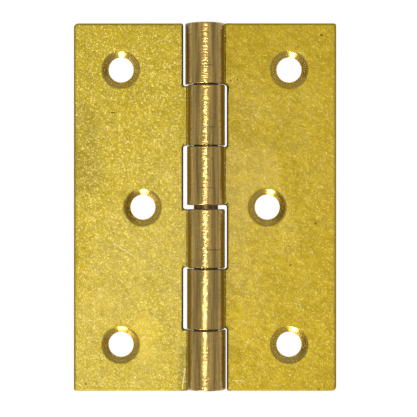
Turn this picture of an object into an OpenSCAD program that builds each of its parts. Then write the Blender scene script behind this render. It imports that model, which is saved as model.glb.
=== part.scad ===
// Butt hinge pressed from sheet, laid open flat, countersunk side up.
// X runs across the leaves, Y along the pin, Z up. The pin's axis stands over the origin
// and the knuckles rest on Z = 0. Both leaves are the same blank, one turned half round.

/* [Leaves] */
// Height of a leaf, along the pin
leaf_h = 100; // [90:0.5:130]
// Width of the flat part of a leaf, from its outer edge to the notches
flat_w = 29.75; // [25:0.25:50]
// Clearance from the right leaf's notches to the other leaf's knuckles
notch_clear = 0.55; // [0.4:0.05:2]
// How much further out the left leaf sits, since its roll took less sheet
left_shift = 0.5; // [0:0.05:2]
// Thickness of the sheet
sheet_t = 1.8; // [1.2:0.1:2]
// Gap between the two leaves when the hinge is folded shut
closed_gap = 2; // [1:0.1:2.6]
// Corner radius at the outer corner nearest the leaf's end knuckle
near_corner_r = 0.65; // [0.2:0.05:3]
// Corner radius at the other outer corner
far_corner_r = 1.25; // [0.2:0.05:3]
// Corner radius where a notch runs out at the end of the leaf
notch_corner_r = 0.6; // [0.2:0.05:1.2]
// Fillet radius at the foot of each knuckle tab
root_r = 0.6; // [0.2:0.05:0.7]

/* [Knuckles] */
// Diameter of the pin
pin_d = 6.6; // [4:0.1:7]
// Radial running clearance between the pin and the rolled sheet
pin_clear = 0.05; // [0.02:0.01:0.1]
// Inner radius of the reverse bend between leaf and knuckle
bend_r = 0.6; // [0.3:0.1:0.8]
// Gap between the rolled free edge and the face of the leaf
seam_gap = 0.15; // [0.05:0.05:0.4]
// Distance from one knuckle to the next, centre to centre
pitch = 16.55; // [14:0.05:17]
// Gap between neighbouring knuckles
knuckle_gap = 0.35; // [0.2:0.05:1]
// Gap between the two knuckles at the middle
middle_gap = 1.1; // [0.2:0.05:2]
// Setback of the end knuckle from the end of the leaf
end_setback = 0.2; // [0.1:0.05:2]

/* [Pin] */
// Depth of each pin end inside its knuckle
pin_recess = 0.4; // [0:0.1:1]
// Chamfer on each pin end
pin_chamfer = 0.4; // [0.1:0.1:1]

/* [Screw holes] */
// Diameter of the screw holes
hole_d = 6.8; // [4:0.1:7]
// Diameter of the countersinks at the face
sink_d = 10.2; // [7.5:0.1:11]
// Full angle of the countersinks
sink_angle = 96; // [90:1:100]
// Distance from the outer edge to the end holes
end_hole_inset = 12.8; // [8:0.1:22]
// Distance from the outer edge to the middle hole
middle_hole_inset = 18.75; // [8:0.05:22]
// Distance from the middle hole to each end hole, along the pin
hole_spacing = 37.4; // [25:0.1:42]

/* [Hidden] */
$fn = 96;
// Overlap that joins solids and carries cutters past a face
over = 0.5;
// Extra radius on the bend's arcs, so that they cross the arcs and faces they blend into
lap = 0.003;
// How far the stub of flat leaf reaches back into the bend
stub_back = 0.03;
// Rolled sheet
bore_r = pin_d / 2 + pin_clear;
barrel_r = bore_r + sheet_t;
axis_z = barrel_r;
// Leaf faces, measured from the axis
front_z = -closed_gap / 2;
back_z = front_z - sheet_t;
// Centre of the reverse bend, where its ring and the rolled ring touch
bend_z = back_z - bend_r;
bend_x = sqrt(pow(barrel_r + bend_r, 2) - bend_z * bend_z);
bend_angle = atan2(bend_z, bend_x);
// Free edge of the roll, an angle below the axis
seam_angle = -asin((-front_z - seam_gap) / barrel_r);
// Knuckles one leaf carries, as [lower end, upper end] pairs
end_y = leaf_h / 2 - end_setback;
KNUCKLES = [
    [2 * pitch + knuckle_gap / 2, end_y],
    [middle_gap / 2, pitch - knuckle_gap / 2],
    [-2 * pitch + knuckle_gap / 2, -pitch - knuckle_gap / 2]
];
pin_len = 2 * (end_y - pin_recess);
hole_r = hole_d / 2;
sink_r = sink_d / 2;
sink_depth = (sink_r - hole_r) / tan(sink_angle / 2);

// Wedge with its point at the centre, from one angle to another, reaching past r
module wedge(from, to, r) {
    middle = (from + to) / 2;
    far = 2 * r;
    polygon([
        [0, 0],
        [far * cos(from), far * sin(from)],
        [far * cos(middle), far * sin(middle)],
        [far * cos(to), far * sin(to)]
    ]);
}

// Disc centred on the reverse bend
module bend_disc(r) {
    translate([bend_x, bend_z]) circle(r + lap);
}

// Stub of flat leaf on edge, from the reverse bend into the flat part that starts at flat_x
module flat_stub(flat_x) {
    start = bend_x - stub_back;
    translate([start, back_z]) square([flat_x + over - start, sheet_t]);
}

// Sheet on edge: rolled ring, open seam, reverse bend and stub of flat leaf
module roll_section(flat_x) {
    difference() {
        union() {
            circle(barrel_r);
            flat_stub(flat_x);
            intersection() {
                bend_disc(bend_r + sheet_t);
                translate([bend_x, bend_z])
                    wedge(90, 180 + bend_angle, bend_r + sheet_t);
            }
        }
        circle(bore_r);
        bend_disc(bend_r);
        difference() {
            wedge(bend_angle, seam_angle, barrel_r);
            flat_stub(flat_x);
            bend_disc(bend_r + sheet_t);
        }
    }
}

// Cutter that rounds the corner at (x, y), which points along the signs sx and sy
module corner_cut(x, y, r, sx, sy) {
    side = r + over;
    translate([x - sx * r, y - sy * r])
        difference() {
            translate([min(sx, 0) * side, min(sy, 0) * side]) square(side);
            circle(r);
        }
}

// Fillet between the edge at x and a tab whose side at y faces along the sign sy
module root_fillet(x, y, sy) {
    side = root_r + over;
    difference() {
        translate([x - root_r, y - sy * over + min(sy, 0) * side]) square(side);
        translate([x - root_r, y + sy * root_r]) circle(root_r);
    }
}

// Outline of the flat leaf, seen from the front
module leaf_outline(flat_x, reach) {
    difference() {
        translate([flat_x, -leaf_h / 2]) square([flat_w, leaf_h]);
        corner_cut(reach, leaf_h / 2, near_corner_r, 1, 1);
        corner_cut(reach, -leaf_h / 2, far_corner_r, 1, -1);
        corner_cut(flat_x, -leaf_h / 2, notch_corner_r, -1, -1);
    }
    for (k = KNUCKLES) {
        root_fillet(flat_x, k[0], -1);
        if (k[1] < end_y) root_fillet(flat_x, k[1], 1);
    }
}

// Screw hole with its countersink, cut from the front face at (x, y)
module screw_hole(x, y) {
    translate([x, y, back_z - over]) cylinder(h = sheet_t + 2 * over, r = hole_r);
    translate([x, y, front_z - sink_depth])
        cylinder(
            h = sink_depth + over,
            r1 = hole_r,
            r2 = sink_r + over * tan(sink_angle / 2)
        );
}

// One leaf, lying to the right of the axis and moved out by shift
module hinge_leaf(shift) {
    flat_x = barrel_r + notch_clear + shift;
    reach = flat_x + flat_w;
    translate([0, 0, axis_z])
        difference() {
            union() {
                translate([0, 0, back_z]) linear_extrude(sheet_t) leaf_outline(flat_x, reach);
                for (k = KNUCKLES)
                    translate([0, k[1], 0])
                        rotate([90, 0, 0])
                            linear_extrude(k[1] - k[0]) roll_section(flat_x);
            }
            for (side = [-1, 1])
                screw_hole(reach - end_hole_inset, side * hole_spacing);
            screw_hole(reach - middle_hole_inset, 0);
        }
}

module right_leaf() {
    color([0.76, 0.66, 0.2]) hinge_leaf(0);
}

module left_leaf() {
    color([0.8, 0.7, 0.24]) rotate([0, 0, 180]) hinge_leaf(left_shift);
}

module pin() {
    pin_r = pin_d / 2;
    color([0.45, 0.36, 0.22])
        translate([0, pin_len / 2, axis_z])
            rotate([90, 0, 0])
                rotate_extrude()
                    polygon([
                        [0, 0],
                        [pin_r - pin_chamfer, 0],
                        [pin_r, pin_chamfer],
                        [pin_r, pin_len - pin_chamfer],
                        [pin_r - pin_chamfer, pin_len],
                        [0, pin_len]
                    ]);
}

left_leaf();
right_leaf();
pin();
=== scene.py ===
import math

import bmesh
import bpy
from mathutils import Matrix, Vector


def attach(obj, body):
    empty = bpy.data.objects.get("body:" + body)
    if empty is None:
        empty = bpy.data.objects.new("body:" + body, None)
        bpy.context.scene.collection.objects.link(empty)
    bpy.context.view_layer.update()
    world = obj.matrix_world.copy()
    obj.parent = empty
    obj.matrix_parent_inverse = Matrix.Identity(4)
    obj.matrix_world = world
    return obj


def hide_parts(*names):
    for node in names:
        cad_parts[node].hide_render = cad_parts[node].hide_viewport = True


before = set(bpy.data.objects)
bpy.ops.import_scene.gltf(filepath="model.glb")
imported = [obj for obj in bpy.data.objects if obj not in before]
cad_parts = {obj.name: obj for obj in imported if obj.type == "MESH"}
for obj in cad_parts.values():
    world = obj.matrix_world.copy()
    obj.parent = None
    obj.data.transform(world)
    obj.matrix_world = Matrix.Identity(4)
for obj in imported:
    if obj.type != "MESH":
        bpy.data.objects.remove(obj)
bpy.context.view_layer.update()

MM = 0.001

# The hinge's own sizes, in metres
SHEET = 1.8 * MM
PIN_R = 3.3 * MM
BORE_R = 3.35 * MM
BARREL_R = BORE_R + SHEET
AXIS_Z = BARREL_R
FRONT_Z = AXIS_Z - 1 * MM
BACK_Z = FRONT_Z - SHEET
BEND_R = 0.6 * MM
BEND_Z = BACK_Z - BEND_R
BEND_X = math.sqrt((BARREL_R + BEND_R) ** 2 - (AXIS_Z - BEND_Z) ** 2)
BEND_ANGLE = math.atan2(AXIS_Z - BEND_Z, BEND_X)
SEAM_ANGLE = math.asin(0.85 * MM / BARREL_R)
HALF_H = 50 * MM
FLAT_W = 29.75 * MM
NOTCH_CLEAR = 0.55 * MM
LEFT_SHIFT = 0.5 * MM
NEAR_CORNER_R = 0.65 * MM
FAR_CORNER_R = 1.25 * MM
ROOT_R = 0.6 * MM
HOLE_R = 3.4 * MM
SINK_R = 5.1 * MM
LAND = SHEET - (SINK_R - HOLE_R) / math.tan(math.radians(48))
END_HOLE_INSET = 12.8 * MM
MIDDLE_HOLE_INSET = 18.75 * MM
HOLE_SPACING = 37.4 * MM
PITCH = 16.55 * MM
HALF_GAP = 0.175 * MM
END_Y = 49.8 * MM
KNUCKLES = [
    (2 * PITCH + HALF_GAP, HALF_H),
    (0.55 * MM, PITCH - HALF_GAP),
    (-2 * PITCH + HALF_GAP, -PITCH - HALF_GAP),
]
PIN_LENGTH = 2 * (END_Y - 0.4 * MM)

# How far each kind of edge is rounded
FRONT_EDGE = 0.6 * MM
BACK_EDGE = 0.14 * MM
BARREL_EDGE = 0.32 * MM
BORE_EDGE = 0.15 * MM
SINK_EDGE = 0.45 * MM
LAND_EDGE = 0.08 * MM


# Shapes


def slice_sheet(bm, point, normal):
    """Cuts the whole sheet along a plane, keeping both sides."""
    bmesh.ops.bisect_plane(
        bm, geom=bm.verts[:] + bm.edges[:] + bm.faces[:], plane_co=point, plane_no=normal, dist=1e-8
    )


def punch_hole(bm, x, y, pad):
    """Opens a round hole in the square patch of sheet around (x, y)."""
    patch = [
        f
        for f in bm.faces
        if abs(f.calc_center_median().x - x) < pad and abs(f.calc_center_median().y - y) < pad
    ]
    face = bmesh.ops.dissolve_faces(bm, faces=patch, use_verts=False)["region"][0]
    for edge in list(face.edges):
        cuts = round(edge.calc_length() * 8 / pad) - 1
        if cuts > 0:
            bmesh.ops.subdivide_edges(bm, edges=[edge], cuts=cuts)
    face = min(bm.faces, key=lambda f: (f.calc_center_median().xy - Vector((x, y))).length)
    square = list(face.edges)
    bmesh.ops.delete(bm, geom=[face], context="FACES_ONLY")
    ring = bmesh.ops.extrude_edge_only(bm, edges=square)["geom"]
    for v in ring:
        if isinstance(v, bmesh.types.BMVert):
            across, along = v.co.x - x, v.co.y - y
            if abs(across) > abs(along):
                turn = along / across * math.pi / 4 + (math.pi if across < 0 else 0)
            else:
                turn = (math.pi if along > 0 else -math.pi) / 2 - across / along * math.pi / 4
            v.co = (x + HOLE_R * math.cos(turn), y + HOLE_R * math.sin(turn), BACK_Z)


def extrude_away(bm, faces, step, keep=False):
    """Pushes faces out by a step and returns the new faces."""
    made = bmesh.ops.extrude_face_region(bm, geom=faces, use_keep_orig=keep)["geom"]
    bmesh.ops.translate(bm, vec=step, verts=[g for g in made if isinstance(g, bmesh.types.BMVert)])
    left = [f for f in faces if f.is_valid]
    if left and not keep:
        bmesh.ops.delete(bm, geom=left, context="FACES")
    return [g for g in made if isinstance(g, bmesh.types.BMFace)]


def flat_sheet(bm, flat_x, reach, holes):
    """Flat part of the leaf, with its countersunk screw holes."""
    bmesh.ops.create_grid(bm, x_segments=1, y_segments=1, size=0.5)
    bmesh.ops.scale(bm, vec=(FLAT_W, 2 * HALF_H, 1), verts=bm.verts)
    bmesh.ops.translate(bm, vec=((flat_x + reach) / 2, 0, BACK_Z), verts=bm.verts)
    pad = 6.6 * MM
    for ends in KNUCKLES:
        for y in ends:
            if y < HALF_H:
                slice_sheet(bm, (0, y, 0), (0, 1, 0))
    for x, y in holes:
        for side in (-pad, pad):
            slice_sheet(bm, (x + side, 0, 0), (1, 0, 0))
            slice_sheet(bm, (0, y + side, 0), (0, 1, 0))
    for x, y in holes:
        punch_hole(bm, x, y, pad)
    land = extrude_away(bm, bm.faces[:], (0, 0, LAND), keep=True)
    extrude_away(bm, land, (0, 0, SHEET - LAND))
    for x, y in holes:
        rim = [
            v
            for v in bm.verts
            if abs(v.co.z - FRONT_Z) < 1e-7 and (v.co.xy - Vector((x, y))).length < HOLE_R + 1e-5
        ]
        wider = SINK_R / HOLE_R
        bmesh.ops.scale(bm, vec=(wider, wider, 1), space=Matrix.Translation((-x, -y, 0)), verts=rim)


def roll_knuckle(bm, flat_x, low, high):
    """Draws a tab out of the notched edge, bends it down and rolls it round the pin."""
    tab = [
        f
        for f in bm.faces
        if abs(f.calc_center_median().x - flat_x) < 1e-7
        and low < f.calc_center_median().y < high
        and len({round(v.co.x / 1e-7) for v in f.verts}) == 1
    ]
    tip = extrude_away(bm, tab, (BEND_X - flat_x, 0, 0))
    bends = (
        ((BEND_X, 0, BEND_Z), BEND_ANGLE - math.pi / 2, 8),
        ((0, 0, AXIS_Z), 2 * math.pi - (BEND_ANGLE - SEAM_ANGLE), 96),
    )
    for centre, angle, steps in bends:
        turned = bmesh.ops.spin(
            bm, geom=tip, cent=centre, axis=(0, 1, 0), dvec=(0, 0, 0), angle=angle, steps=steps
        )["geom_last"]
        old = [f for f in tip if f.is_valid]
        tip = [g for g in turned if isinstance(g, bmesh.types.BMFace)]
        if old:
            bmesh.ops.delete(bm, geom=old, context="FACES_ONLY")


def round_uprights(bm, corners):
    """Rounds the upright edges over the given points, each to its own radius."""
    for x, y, r in corners:
        upright = [
            e
            for e in bm.edges
            if all(abs(v.co.x - x) < 1e-6 and abs(v.co.y - y) < 1e-6 for v in e.verts)
        ]
        bmesh.ops.bevel(
            bm, geom=upright, offset=r, offset_type="OFFSET", segments=8, profile=0.5,
            affect="EDGES", clamp_overlap=False, material=-1,
        )


def flare_knuckle_ends(bm, flare):
    """Spreads the flanks of the knuckles' ends towards the neighbouring knuckles."""
    ends = [(y, way) for pair in KNUCKLES for y, way in zip(pair, (-1, 1)) if MM < abs(y) < HALF_H]
    for v in bm.verts:
        if math.hypot(v.co.x, v.co.z - AXIS_Z) > BARREL_R + 1e-6:
            continue
        for y, way in ends:
            if abs(v.co.y - y) < 1e-6:
                flank = min(1, max(0, (abs(v.co.x) - 2.8 * MM) / (1.2 * MM)))
                high = min(1, max(0, (v.co.z - AXIS_Z + 2 * MM) / (1.5 * MM)))
                v.co.y += way * flare * flank * high


def settle_end_knuckle(bm, recess, loose):
    """Lets the end knuckle's end draw back towards its crest, and its far side stand out."""
    for v in bm.verts:
        on_roll = math.hypot(v.co.x, v.co.z - AXIS_Z) < BARREL_R + 1e-6
        if v.co.y < KNUCKLES[0][0] - 0.2 * MM or (v.co.x > BEND_X + 1e-6 and not on_roll):
            continue
        if v.co.x < 0:
            v.co.x *= 1 + loose / BARREL_R
        if v.co.y > HALF_H - 1e-6:
            lift = min(1, max(0, (v.co.z - BACK_Z) / (AXIS_Z - BACK_Z)))
            v.co.y -= recess * lift * lift * (3 - 2 * lift)


def edge_round(v, holes):
    """How far the sheet is rounded at a vertex on one of its edges."""
    from_axis = math.hypot(v.co.x, v.co.z - AXIS_Z)
    if v.co.x > BEND_X - 1e-6:
        near = min((v.co.xy - Vector(h)).length for h in holes)
        if near < SINK_R + 1e-5:
            if v.co.z > FRONT_Z - 1e-6:
                return SINK_EDGE
            return LAND_EDGE
        return FRONT_EDGE if v.co.z > FRONT_Z - 1e-6 else BACK_EDGE
    return BARREL_EDGE if from_axis > BARREL_R - 0.2 * MM else BORE_EDGE


def leaf_sheet(shift, recess, loose):
    """One leaf to the right of the pin, moved out by shift."""
    flat_x = BARREL_R + NOTCH_CLEAR + shift
    reach = flat_x + FLAT_W
    holes = [
        (reach - END_HOLE_INSET, HOLE_SPACING),
        (reach - END_HOLE_INSET, -HOLE_SPACING),
        (reach - MIDDLE_HOLE_INSET, 0),
    ]
    bm = bmesh.new()
    flat_sheet(bm, flat_x, reach, holes)
    for low, high in KNUCKLES:
        roll_knuckle(bm, flat_x, low, high)
    bmesh.ops.remove_doubles(bm, verts=bm.verts, dist=1e-7)
    bmesh.ops.recalc_face_normals(bm, faces=bm.faces)
    corners = [
        (reach, HALF_H, NEAR_CORNER_R),
        (reach, -HALF_H, FAR_CORNER_R),
        (flat_x, -HALF_H, ROOT_R),
    ]
    for low, high in KNUCKLES:
        corners.append((flat_x, low, ROOT_R))
        if high < HALF_H:
            corners.append((flat_x, high, ROOT_R))
    round_uprights(bm, corners)
    flare_knuckle_ends(bm, 0.12 * MM)
    settle_end_knuckle(bm, recess, loose)
    weight = bm.edges.layers.float.new("bevel_weight_edge")
    for e in bm.edges:
        if e.is_manifold and e.calc_face_angle(0) > math.radians(31):
            e[weight] = sum(edge_round(v, holes) for v in e.verts) / 2 / MM
    return bm


def pin_rod():
    bm = bmesh.new()
    bmesh.ops.create_cone(
        bm, cap_ends=True, segments=96, radius1=PIN_R, radius2=PIN_R, depth=PIN_LENGTH,
        matrix=Matrix.Translation((0, 0, AXIS_Z)) @ Matrix.Rotation(math.pi / 2, 4, "X"),
    )
    rims = [e for e in bm.edges if e.calc_face_angle(0) > math.radians(60)]
    bmesh.ops.bevel(
        bm, geom=rims, offset=0.4 * MM, offset_type="OFFSET", segments=4, profile=0.5,
        affect="EDGES", material=-1,
    )
    return bm


def add_piece(name, bm, body, node, metal):
    mesh = bpy.data.meshes.new(name)
    for f in bm.faces:
        f.smooth = True
    bm.to_mesh(mesh)
    bm.free()
    mesh.materials.append(metal)
    piece = bpy.data.objects.new(name, mesh)
    bpy.context.scene.collection.objects.link(piece)
    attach(piece, body)
    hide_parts(node)
    return piece


def round_and_smooth(piece, width):
    if width:
        rounding = piece.modifiers.new("edge_rounding", "BEVEL")
        rounding.limit_method = "WEIGHT"
        rounding.width = width
        rounding.segments = 4
        rounding.use_clamp_overlap = False
    normals = piece.modifiers.new("flat_faces_stay_flat", "WEIGHTED_NORMAL")
    normals.weight = 50
    normals.keep_sharp = False


# Metals


class Shader:
    """Adds nodes to a material or world, and joins them as it goes."""

    def __init__(self, owner):
        owner.use_nodes = True
        self.tree = owner.node_tree

    def put(self, node, socket, value):
        place = node.inputs[socket]
        if isinstance(value, bpy.types.NodeSocket):
            self.tree.links.new(value, place)
        else:
            place.default_value = value

    def math(self, operation, *values, clamp=False):
        node = self.tree.nodes.new("ShaderNodeMath")
        node.operation = operation
        node.use_clamp = clamp
        for i, value in enumerate(values):
            self.put(node, i, value)
        return node.outputs[0]

    def vector(self, operation, *values):
        node = self.tree.nodes.new("ShaderNodeVectorMath")
        node.operation = operation
        for i, value in enumerate(values):
            self.put(node, i, value)
        return node.outputs["Value" if operation in ("LENGTH", "DISTANCE") else "Vector"]

    def step(self, value, start, end, low=0.0, high=1.0):
        """Smooth change from low to high while value goes from start to end."""
        node = self.tree.nodes.new("ShaderNodeMapRange")
        node.interpolation_type = "SMOOTHSTEP"
        for i, v in enumerate((value, start, end, low, high)):
            self.put(node, i, v)
        return node.outputs[0]

    def blend(self, factor, first, second, how="MIX"):
        node = self.tree.nodes.new("ShaderNodeMix")
        node.data_type = "RGBA"
        node.blend_type = how
        for i, v in ((0, factor), (6, first), (7, second)):
            self.put(node, i, v)
        return node.outputs[2]

    def lerp(self, factor, first, second):
        node = self.tree.nodes.new("ShaderNodeMix")
        for i, v in ((0, factor), (2, first), (3, second)):
            self.put(node, i, v)
        return node.outputs[0]

    def laid(self, coords, turn, size):
        """Coordinates turned by some degrees about Z and measured in units of size."""
        node = self.tree.nodes.new("ShaderNodeMapping")
        node.vector_type = "TEXTURE"
        self.put(node, "Vector", coords)
        node.inputs["Rotation"].default_value = (0, 0, math.radians(turn))
        node.inputs["Scale"].default_value = size
        return node.outputs[0]

    def noise(self, coords, detail=2.0, rough=0.5, lift=0.0):
        node = self.tree.nodes.new("ShaderNodeTexNoise")
        node.noise_dimensions = "3D"
        self.put(node, "Vector", coords)
        node.inputs["Scale"].default_value = 1
        node.inputs["Detail"].default_value = detail
        node.inputs["Roughness"].default_value = rough
        node.inputs["Distortion"].default_value = lift
        return node.outputs["Fac"]

    def grains(self, coords):
        """Sandy grains: how each one tilts, only the palest of them much, and its random tone."""
        node = self.tree.nodes.new("ShaderNodeTexVoronoi")
        self.put(node, "Vector", coords)
        node.inputs["Scale"].default_value = 1
        tilt = self.vector("MULTIPLY", self.vector("SUBTRACT", node.outputs["Color"], (0.5, 0.5, 0.5)), (2, 2, 0))
        pick = self.tree.nodes.new("ShaderNodeSeparateColor")
        self.put(pick, "Color", node.outputs["Color"])
        return self.scaled(tilt, self.step(pick.outputs[2], 0.6, 0.9, 0.25, 1.0)), pick.outputs[2]

    def tilted(self, normal, tilt):
        """A normal leaned by a vector that turns with the piece."""
        turned = self.tree.nodes.new("ShaderNodeVectorTransform")
        turned.vector_type = "VECTOR"
        turned.convert_from = "OBJECT"
        turned.convert_to = "WORLD"
        self.put(turned, "Vector", tilt)
        return self.vector("NORMALIZE", self.vector("ADD", normal, turned.outputs[0]))

    def scaled(self, vector, factor):
        node = self.tree.nodes.new("ShaderNodeVectorMath")
        node.operation = "SCALE"
        self.put(node, 0, vector)
        self.put(node, "Scale", factor)
        return node.outputs["Vector"]

    def dot(self, first, second):
        node = self.tree.nodes.new("ShaderNodeVectorMath")
        node.operation = "DOT_PRODUCT"
        self.put(node, 0, first)
        self.put(node, 1, second)
        return node.outputs["Value"]

    def specks(self, coords, share, size):
        """Scattered round specks: which share of the cells has one, and its size."""
        node = self.tree.nodes.new("ShaderNodeTexVoronoi")
        self.put(node, "Vector", coords)
        node.inputs["Scale"].default_value = 1
        pick = self.tree.nodes.new("ShaderNodeSeparateColor")
        self.put(pick, "Color", node.outputs["Color"])
        chosen = self.math("LESS_THAN", pick.outputs[0], share)
        return self.math("MULTIPLY", chosen, self.step(node.outputs["Distance"], size, size * 0.4))

    def mark(self, flat, start, end, width):
        """A short mark between two points given in mm, of the given width."""
        run = Vector(end) - Vector(start)
        away = self.vector("SUBTRACT", flat, (*start, 0))
        along = self.math("MULTIPLY", self.dot(away, (*(run / run.length_squared), 0)), 1, clamp=True)
        nearest = self.scaled((*run, 0), along)
        return self.step(self.vector("DISTANCE", away, nearest), width, width * 0.4)


def shade(colour, factor):
    return tuple(min(1, c * factor) for c in colour) + (1,)


def lacquered_brass(name, side, reach, holes, finish):
    """Lacquered brass sheet: speckled on the flat, drawn smooth on the rolled knuckles."""
    metal = bpy.data.materials.new(name)
    s = Shader(metal)
    bsdf = s.tree.nodes["Principled BSDF"]
    object_place = s.tree.nodes.new("ShaderNodeTexCoord")
    place = s.scaled(object_place.outputs["Object"], 1 / MM)
    axes = s.tree.nodes.new("ShaderNodeSeparateXYZ")
    s.put(axes, 0, place)
    x, y, z = axes.outputs
    facing = s.tree.nodes.new("ShaderNodeSeparateXYZ")
    s.put(facing, 0, object_place.outputs["Normal"])
    along_pin = s.math("ABSOLUTE", facing.outputs[1])
    above = s.math("SUBTRACT", z, AXIS_Z / MM)
    from_axis = s.math("SQRT", s.math("ADD", s.math("MULTIPLY", x, x), s.math("MULTIPLY", above, above)))
    out = s.math("MULTIPLY", x, side)
    rolled = s.math("MAXIMUM", s.step(from_axis, 5.45, 5.3), s.step(out, 0.5, 0.0))

    # Distance from the nearest screw hole's centre, for the countersinks
    flat = s.vector("MULTIPLY", place, (1, 1, 0))
    near = None
    for hx, hy in holes:
        far = s.vector("DISTANCE", flat, (hx / MM, hy / MM, 0))
        near = far if near is None else s.math("MINIMUM", near, far)
    sunk = s.math("MULTIPLY", s.step(near, 5.15, 4.95), s.step(z, BACK_Z / MM + 0.02, BACK_Z / MM + 0.1))

    # Rounded rims of the flat sheet, and the knuckles' end faces where they meet
    lean = s.math("SUBTRACT", 1, s.math("ABSOLUTE", facing.outputs[2]))
    rim = s.math("MULTIPLY", s.step(lean, 0.03, 0.2), s.math("SUBTRACT", 1, rolled))
    end_face = s.math("MAXIMUM", s.step(along_pin, 0.75, 0.92), s.step(facing.outputs[1], 0.3, 0.65))
    # Masks for painted shade: knuckle end faces in the gaps, and the knuckles' far flank
    shaded_gap_ends = s.math("MULTIPLY", s.math("MULTIPLY", end_face, rolled), s.step(s.math("ABSOLUTE", y), 49, 48))
    shaded_far_flank = s.math("MULTIPLY", s.step(out, -4.55, -4.95), finish["far_flank_shade"])

    # Relief: rolled grain, tilted grains that glint, and drawn lines on the knuckles
    wave = s.noise(s.laid(place, -40, (0.9, 0.75, 0.8)), 3, 0.6)
    grain_tilt, grain_tone = s.grains(s.laid(place, -40, (0.36, 0.29, 0.33)))
    blotch = s.noise(s.laid(place, 20, (6, 8, 7)), 4, 0.62)
    mottle = s.noise(s.laid(place, -30, (2.1, 1.3, 1.6)), 2, 0.5)
    lines = s.noise(s.laid(place, 0, (0.55, 14, 0.55)), 2, 0.6)
    rings = s.noise(s.laid(place, 0, (1.6, 0.5, 1.6)), 1, 0.5)
    pits = s.specks(s.laid(place, 0, (0.9, 0.9, 0.9)), finish["pits"], 0.2)
    for start, end, width in finish["dents"]:
        pits = s.math("MAXIMUM", pits, s.mark(flat, start, end, width))
    scratched = 0.0
    for start, end, width in finish["scratches"]:
        scratched = s.math("MAXIMUM", scratched, s.mark(flat, start, end, width))

    # Blanked edges, and polished grains whose pale tone is a painted glint
    inset = s.math("MINIMUM", s.math("SUBTRACT", reach / MM, out), s.math("SUBTRACT", HALF_H / MM, s.math("ABSOLUTE", y)))
    edge = s.math("MULTIPLY", s.step(inset, 0.9, 0.2), s.math("SUBTRACT", 1, rolled))
    polish_and_painted_glint = s.math("MULTIPLY", s.step(grain_tone, 0.6, 0.9, 0, finish["polish_and_glint"]), s.math("SUBTRACT", 1, s.math("MAXIMUM", rolled, sunk)))

    colour = finish["colour"]
    tone = s.blend(grain_tone, shade(colour, 1 - finish["speckle"]), shade(colour, 1 + finish["speckle"]))
    tone = s.blend(s.math("MULTIPLY", s.step(blotch, 0.58, 0.36), 0.2), tone, shade(colour, 0.75))
    tone = s.blend(s.math("MULTIPLY", s.step(mottle, 0.5, 0.3), 0.15), tone, shade(colour, 0.75))
    # Patches along marks: a dark patch at the left leaf's outer edge, a strip beside the left leaf's bottom knuckle
    # darkened as painted shade, and paler patches low on each leaf as painted sheen
    for start, end, width, level in finish["stains_shade_and_sheen"]:
        patch_mask = s.mark(flat, start, end, width)
        tone = s.blend(s.math("MULTIPLY", patch_mask, 0.7), tone, shade(colour, level))
    # Polished grains paled towards cream: painted glint
    tone = s.blend(polish_and_painted_glint, tone, (0.85, 0.76, 0.34, 1))
    # Darker band just inside the blanked outer edges: partly wear, partly painted shade of the turning edge
    tone = s.blend(s.math("MULTIPLY", edge, 0.4), tone, shade(colour, 0.55))
    # Rounded rims and side walls painted dark brown, and the notch edges near black: painted shade
    tone = s.blend(rim, tone, (0.32, 0.19, 0.015, 1))
    tone = s.blend(s.math("MULTIPLY", rim, s.step(out, 7.1, 6.5)), tone, (0.1, 0.055, 0.014, 1))
    # The knuckles' brass is painted a darker brown than the leaves, with redder flanks that darken towards the
    # crease: painted shade. The stripes along them are drawn lines
    brown = finish["brown"]
    rolled_tone = s.blend(s.step(lines, 0.35, 0.65), shade(brown, 0.72), shade(brown, 1.2))
    rolled_tone = s.blend(s.step(s.math("ABSOLUTE", x), 3.4, 4.9, 0, 0.7), rolled_tone, (0.36, 0.2, 0.045, 1))
    rolled_tone = s.blend(s.step(s.math("ABSOLUTE", x), 4.1, 4.6, 0, 0.7), rolled_tone, (0.15, 0.09, 0.04, 1))
    tone = s.blend(rolled, tone, rolled_tone)
    # Countersinks painted a darker olive brown than the leaf: painted shade of the recess
    tone = s.blend(sunk, tone, (0.42, 0.3, 0.035, 1))
    # Knuckle end faces in the gaps and the right leaf's knuckles' far flanks painted near black: painted shade
    tone = s.blend(s.math("MAXIMUM", shaded_gap_ends, shaded_far_flank), tone, (0.07, 0.035, 0.014, 1))
    tone = s.blend(s.math("MULTIPLY", pits, 0.75), tone, (0.08, 0.045, 0.012, 1))
    tone = s.blend(s.math("MULTIPLY", scratched, 0.7), tone, (0.95, 0.85, 0.45, 1))
    s.put(bsdf, "Base Color", tone)
    bsdf.inputs["Metallic"].default_value = 1

    dull = finish["dull"]
    roughness = s.lerp(rolled, s.step(mottle, 0.3, 0.7, dull + 0.04, dull - 0.04), 0.24)
    roughness = s.lerp(polish_and_painted_glint, roughness, 0.34)
    s.put(bsdf, "Roughness", s.lerp(sunk, roughness, 0.27))
    s.put(bsdf, "Coat Weight", s.lerp(s.math("MAXIMUM", rolled, sunk), s.lerp(rim, 0.15, 0.1), 1.0))
    bsdf.inputs["Coat Roughness"].default_value = 0.14

    # The blanked edge falls away gently before it turns
    fall = s.math("SUBTRACT", 1, s.math("DIVIDE", inset, 1.1), clamp=True)
    sag = s.noise(s.laid(place, 30, (14, 18, 14)), 1, 0.5)

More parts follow.
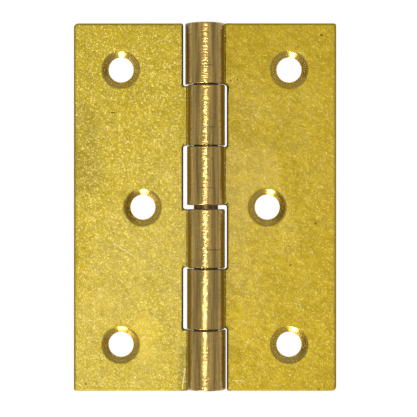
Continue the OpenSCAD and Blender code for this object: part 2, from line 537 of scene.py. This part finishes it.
    flat_relief = s.math("SUBTRACT", s.math("MULTIPLY", wave, finish["relief"]), s.math("MULTIPLY", pits, 0.3))
    flat_relief = s.math("SUBTRACT", flat_relief, s.math("MULTIPLY", s.math("MULTIPLY", fall, fall), finish["edge_fall"]))
    flat_relief = s.math("ADD", flat_relief, s.math("MULTIPLY", sag, finish["sag"]))
    rolled_relief = s.math("ADD", rings, s.math("MULTIPLY", lines, 0.12))
    height = s.lerp(rolled, flat_relief, s.math("MULTIPLY", rolled_relief, finish["drawn"]))
    height = s.lerp(sunk, height, s.math("MULTIPLY", mottle, 0.4))
    bump = s.tree.nodes.new("ShaderNodeBump")
    bump.inputs["Strength"].default_value = 1
    bump.inputs["Distance"].default_value = 0.1 * MM
    s.put(bump, "Height", height)
    sandy = s.math("MULTIPLY", s.math("SUBTRACT", 1, s.math("MAXIMUM", rolled, sunk)), finish["sand"])
    normal = s.tilted(bump.outputs[0], s.scaled(grain_tilt, sandy))
    s.put(bsdf, "Normal", normal)
    s.put(bsdf, "Coat Normal", normal)
    return metal


def drawn_rod_metal():
    metal = bpy.data.materials.new("drawn_rod")
    s = Shader(metal)
    bsdf = s.tree.nodes["Principled BSDF"]
    coords = s.tree.nodes.new("ShaderNodeTexCoord").outputs["Object"]
    pin_mottle = s.noise(s.laid(coords, 0, (0.0012, 0.0003, 0.0012)), 3, 0.6)
    # The pin is painted dark brown as painted shade, since it shows only down in the gaps between knuckles; the
    # mottle varies it
    s.put(bsdf, "Base Color", s.blend(s.step(pin_mottle, 0.3, 0.7), (0.1, 0.06, 0.02, 1), (0.24, 0.16, 0.05, 1)))
    bsdf.inputs["Metallic"].default_value = 1
    s.put(bsdf, "Roughness", s.step(pin_mottle, 0.3, 0.7, 0.5, 0.36))
    bump = s.tree.nodes.new("ShaderNodeBump")
    bump.inputs["Strength"].default_value = 0.3
    bump.inputs["Distance"].default_value = 0.05 * MM
    s.put(bump, "Height", pin_mottle)
    s.put(bsdf, "Normal", bump.outputs[0])
    return metal


def leaf_reach(shift):
    return BARREL_R + NOTCH_CLEAR + shift + FLAT_W


def hole_centres(shift, side):
    reach = leaf_reach(shift)
    return [
        (side * (reach - END_HOLE_INSET), HOLE_SPACING),
        (side * (reach - END_HOLE_INSET), -HOLE_SPACING),
        (side * (reach - MIDDLE_HOLE_INSET), 0),
    ]


# Dents and scratches are given in mm from the middle of the pin: start, end, width
LEFT_FINISH = {
    "colour": (0.59, 0.44, 0.025), "brown": (0.45, 0.29, 0.06), "relief": 0.35, "sand": 0.18, "speckle": 0.09, "edge_fall": 1.4, "sag": 8.0, "pits": 0.006,
    "dull": 0.62, "polish_and_glint": 0.36, "drawn": 1.4, "far_flank_shade": 0.0,
    "dents": [
        ((-32.8, -48.1), (-32.6, -48.1), 0.3),
        ((-25.6, 25.7), (-24.9, 25.7), 0.2),
        ((-0.7, 21.5), (2.3, 21.5), 0.16),
        ((-0.4, -11.5), (3.9, -11.5), 0.2),
    ],
    "scratches": [
        ((-25.1, -9.9), (-19.4, -13.4), 0.14),
        ((-5.7, -43.9), (-6.4, -49.3), 0.2),
    ],
    # Patches: start, end, width, tone factor; a dark patch, then painted shade beside the bottom knuckle, then a
    # painted sheen
    "stains_shade_and_sheen": [
        ((-33.8, 24), (-32.5, 8), 6.5, 0.72),
        ((-6.3, -39), (-6.3, -49), 1.8, 0.6),
        ((-17.8, -37.6), (-16.5, -34), 6, 1.25),
    ],
}
RIGHT_FINISH = {
    "colour": (0.54, 0.385, 0.017), "brown": (0.45, 0.29, 0.06), "relief": 0.25, "sand": 0.11, "speckle": 0.07, "edge_fall": 0.7, "sag": 5.0, "pits": 0.004,
    "dull": 0.6, "polish_and_glint": 0.16, "drawn": 1.2, "far_flank_shade": 0.8,
    "dents": [
        ((31.2, 46.8), (31.6, 46.8), 0.3),
        ((-1.5, 38.1), (1.8, 38.1), 0.16),
        ((-2.3, 5.2), (2.0, 5.2), 0.12),
        ((6.7, 34.3), (6.7, 34.5), 0.25),
        ((8.6, 34.6), (8.6, 34.8), 0.2),
        ((22.9, -15.9), (23.1, -15.7), 0.25),
        ((29.7, -4.5), (29.9, -4.3), 0.25),
        ((30.6, -49.5), (30.8, -49.5), 0.3),
        ((32.1, -48.0), (32.1, -49.0), 0.12),
    ],
    "scratches": [((7.2, -47.1), (10.5, -47.3), 0.12)],
    # A paler patch: painted sheen
    "stains_shade_and_sheen": [((9, -34), (10, -30), 5, 1.1)],
}
left_brass = lacquered_brass("left_brass", -1, leaf_reach(LEFT_SHIFT), hole_centres(LEFT_SHIFT, -1), LEFT_FINISH)
right_brass = lacquered_brass("right_brass", 1, leaf_reach(0), hole_centres(0, 1), RIGHT_FINISH)

left_bm = leaf_sheet(LEFT_SHIFT, 0.6 * MM, 0.22 * MM)
bmesh.ops.rotate(left_bm, cent=(0, 0, 0), matrix=Matrix.Rotation(math.pi, 3, "Z"), verts=left_bm.verts)
left = add_piece("left_leaf_sheet", left_bm, "left", "left_leaf", left_brass)
right = add_piece("right_leaf_sheet", leaf_sheet(0, 0.3 * MM, 0.45 * MM), "right", "right_leaf", right_brass)
pin = add_piece("pin_rod", pin_rod(), "left", "pin", drawn_rod_metal())
for piece, width in ((left, MM), (right, MM), (pin, 0)):
    round_and_smooth(piece, width)


# Floor, light and camera

scene = bpy.context.scene


def add_floor():
    bm = bmesh.new()
    bmesh.ops.create_grid(bm, x_segments=1, y_segments=1, size=6)
    mesh = bpy.data.meshes.new("floor")
    bm.to_mesh(mesh)
    bm.free()
    floor = bpy.data.objects.new("floor", mesh)
    scene.collection.objects.link(floor)
    paper = bpy.data.materials.new("white_paper")
    s = Shader(paper)
    tree = s.tree
    tree.nodes.remove(tree.nodes["Principled BSDF"])
    path = tree.nodes.new("ShaderNodeLightPath").outputs
    seen = s.math("MAXIMUM", path["Is Camera Ray"], s.math("MAXIMUM", path["Is Glossy Ray"], path["Is Transmission Ray"]))
    plain = tree.nodes.new("ShaderNodeBsdfDiffuse")
    s.put(plain, "Color", s.blend(seen, (0.8, 0.8, 0.8, 1), (0.14, 0.14, 0.14, 1)))
    glow = tree.nodes.new("ShaderNodeEmission")
    s.put(glow, "Strength", s.math("MULTIPLY", seen, 0.93))
    both = tree.nodes.new("ShaderNodeAddShader")
    s.put(both, 0, plain.outputs[0])
    s.put(both, 1, glow.outputs[0])
    s.put(tree.nodes["Material Output"], "Surface", both.outputs[0])
    mesh.materials.append(paper)


def add_lamp(name, direction, distance, size_across, size_along, level):
    """Area lamp that shows at the given level in a mirror on the hinge."""
    data = bpy.data.lights.new(name, "AREA")
    data.shape = "RECTANGLE"
    data.size = size_across
    data.size_y = size_along
    data.energy = level * math.pi * size_across * size_along
    lamp = bpy.data.objects.new(name, data)
    scene.collection.objects.link(lamp)
    lamp.location = Vector(direction).normalized() * distance
    lamp.rotation_euler = (-lamp.location).to_track_quat("-Z", "Y").to_euler()


add_floor()
add_lamp("main_lamp", (-0.085, -0.1, 1), 0.7, 0.03, 0.3, 40)
add_lamp("low_lamp", (-0.16, -1, 0.14), 0.6, 0.2, 0.14, 32)

world = bpy.data.worlds.new("studio")
scene.world = world
w = Shader(world)
background = w.tree.nodes["Background"]
direction = w.tree.nodes.new("ShaderNodeSeparateXYZ")
w.put(direction, 0, w.tree.nodes.new("ShaderNodeTexCoord").outputs["Generated"])
sky = w.tree.nodes.new("ShaderNodeValToRGB")
w.put(sky, "Fac", direction.outputs[2])
levels = ((0.0, 0.75), (0.17, 0.55), (0.34, 0.66), (0.55, 0.38), (0.7, 0.44), (0.86, 0.68), (0.94, 0.74), (1.0, 0.75))
stops = sky.color_ramp.elements
while len(stops) < len(levels):
    stops.new(0.5)
for stop, (position, level) in zip(stops, levels):
    stop.position = position
    stop.color = (level, level, level, 1)
w.put(background, "Color", sky.outputs[0])

camera = bpy.data.objects.new("camera", bpy.data.cameras.new("camera"))
scene.collection.objects.link(camera)
CAMERA_HEIGHT = 420 * MM
camera.location = (0.69 * MM, -0.38 * MM, FRONT_Z + CAMERA_HEIGHT)
camera.data.sensor_width = 36
camera.data.lens = 36 * CAMERA_HEIGHT / (113.33 * MM)
camera.data.clip_start = 0.01
camera.data.clip_end = 30
scene.camera = camera

scene.view_settings.view_transform = "Standard"
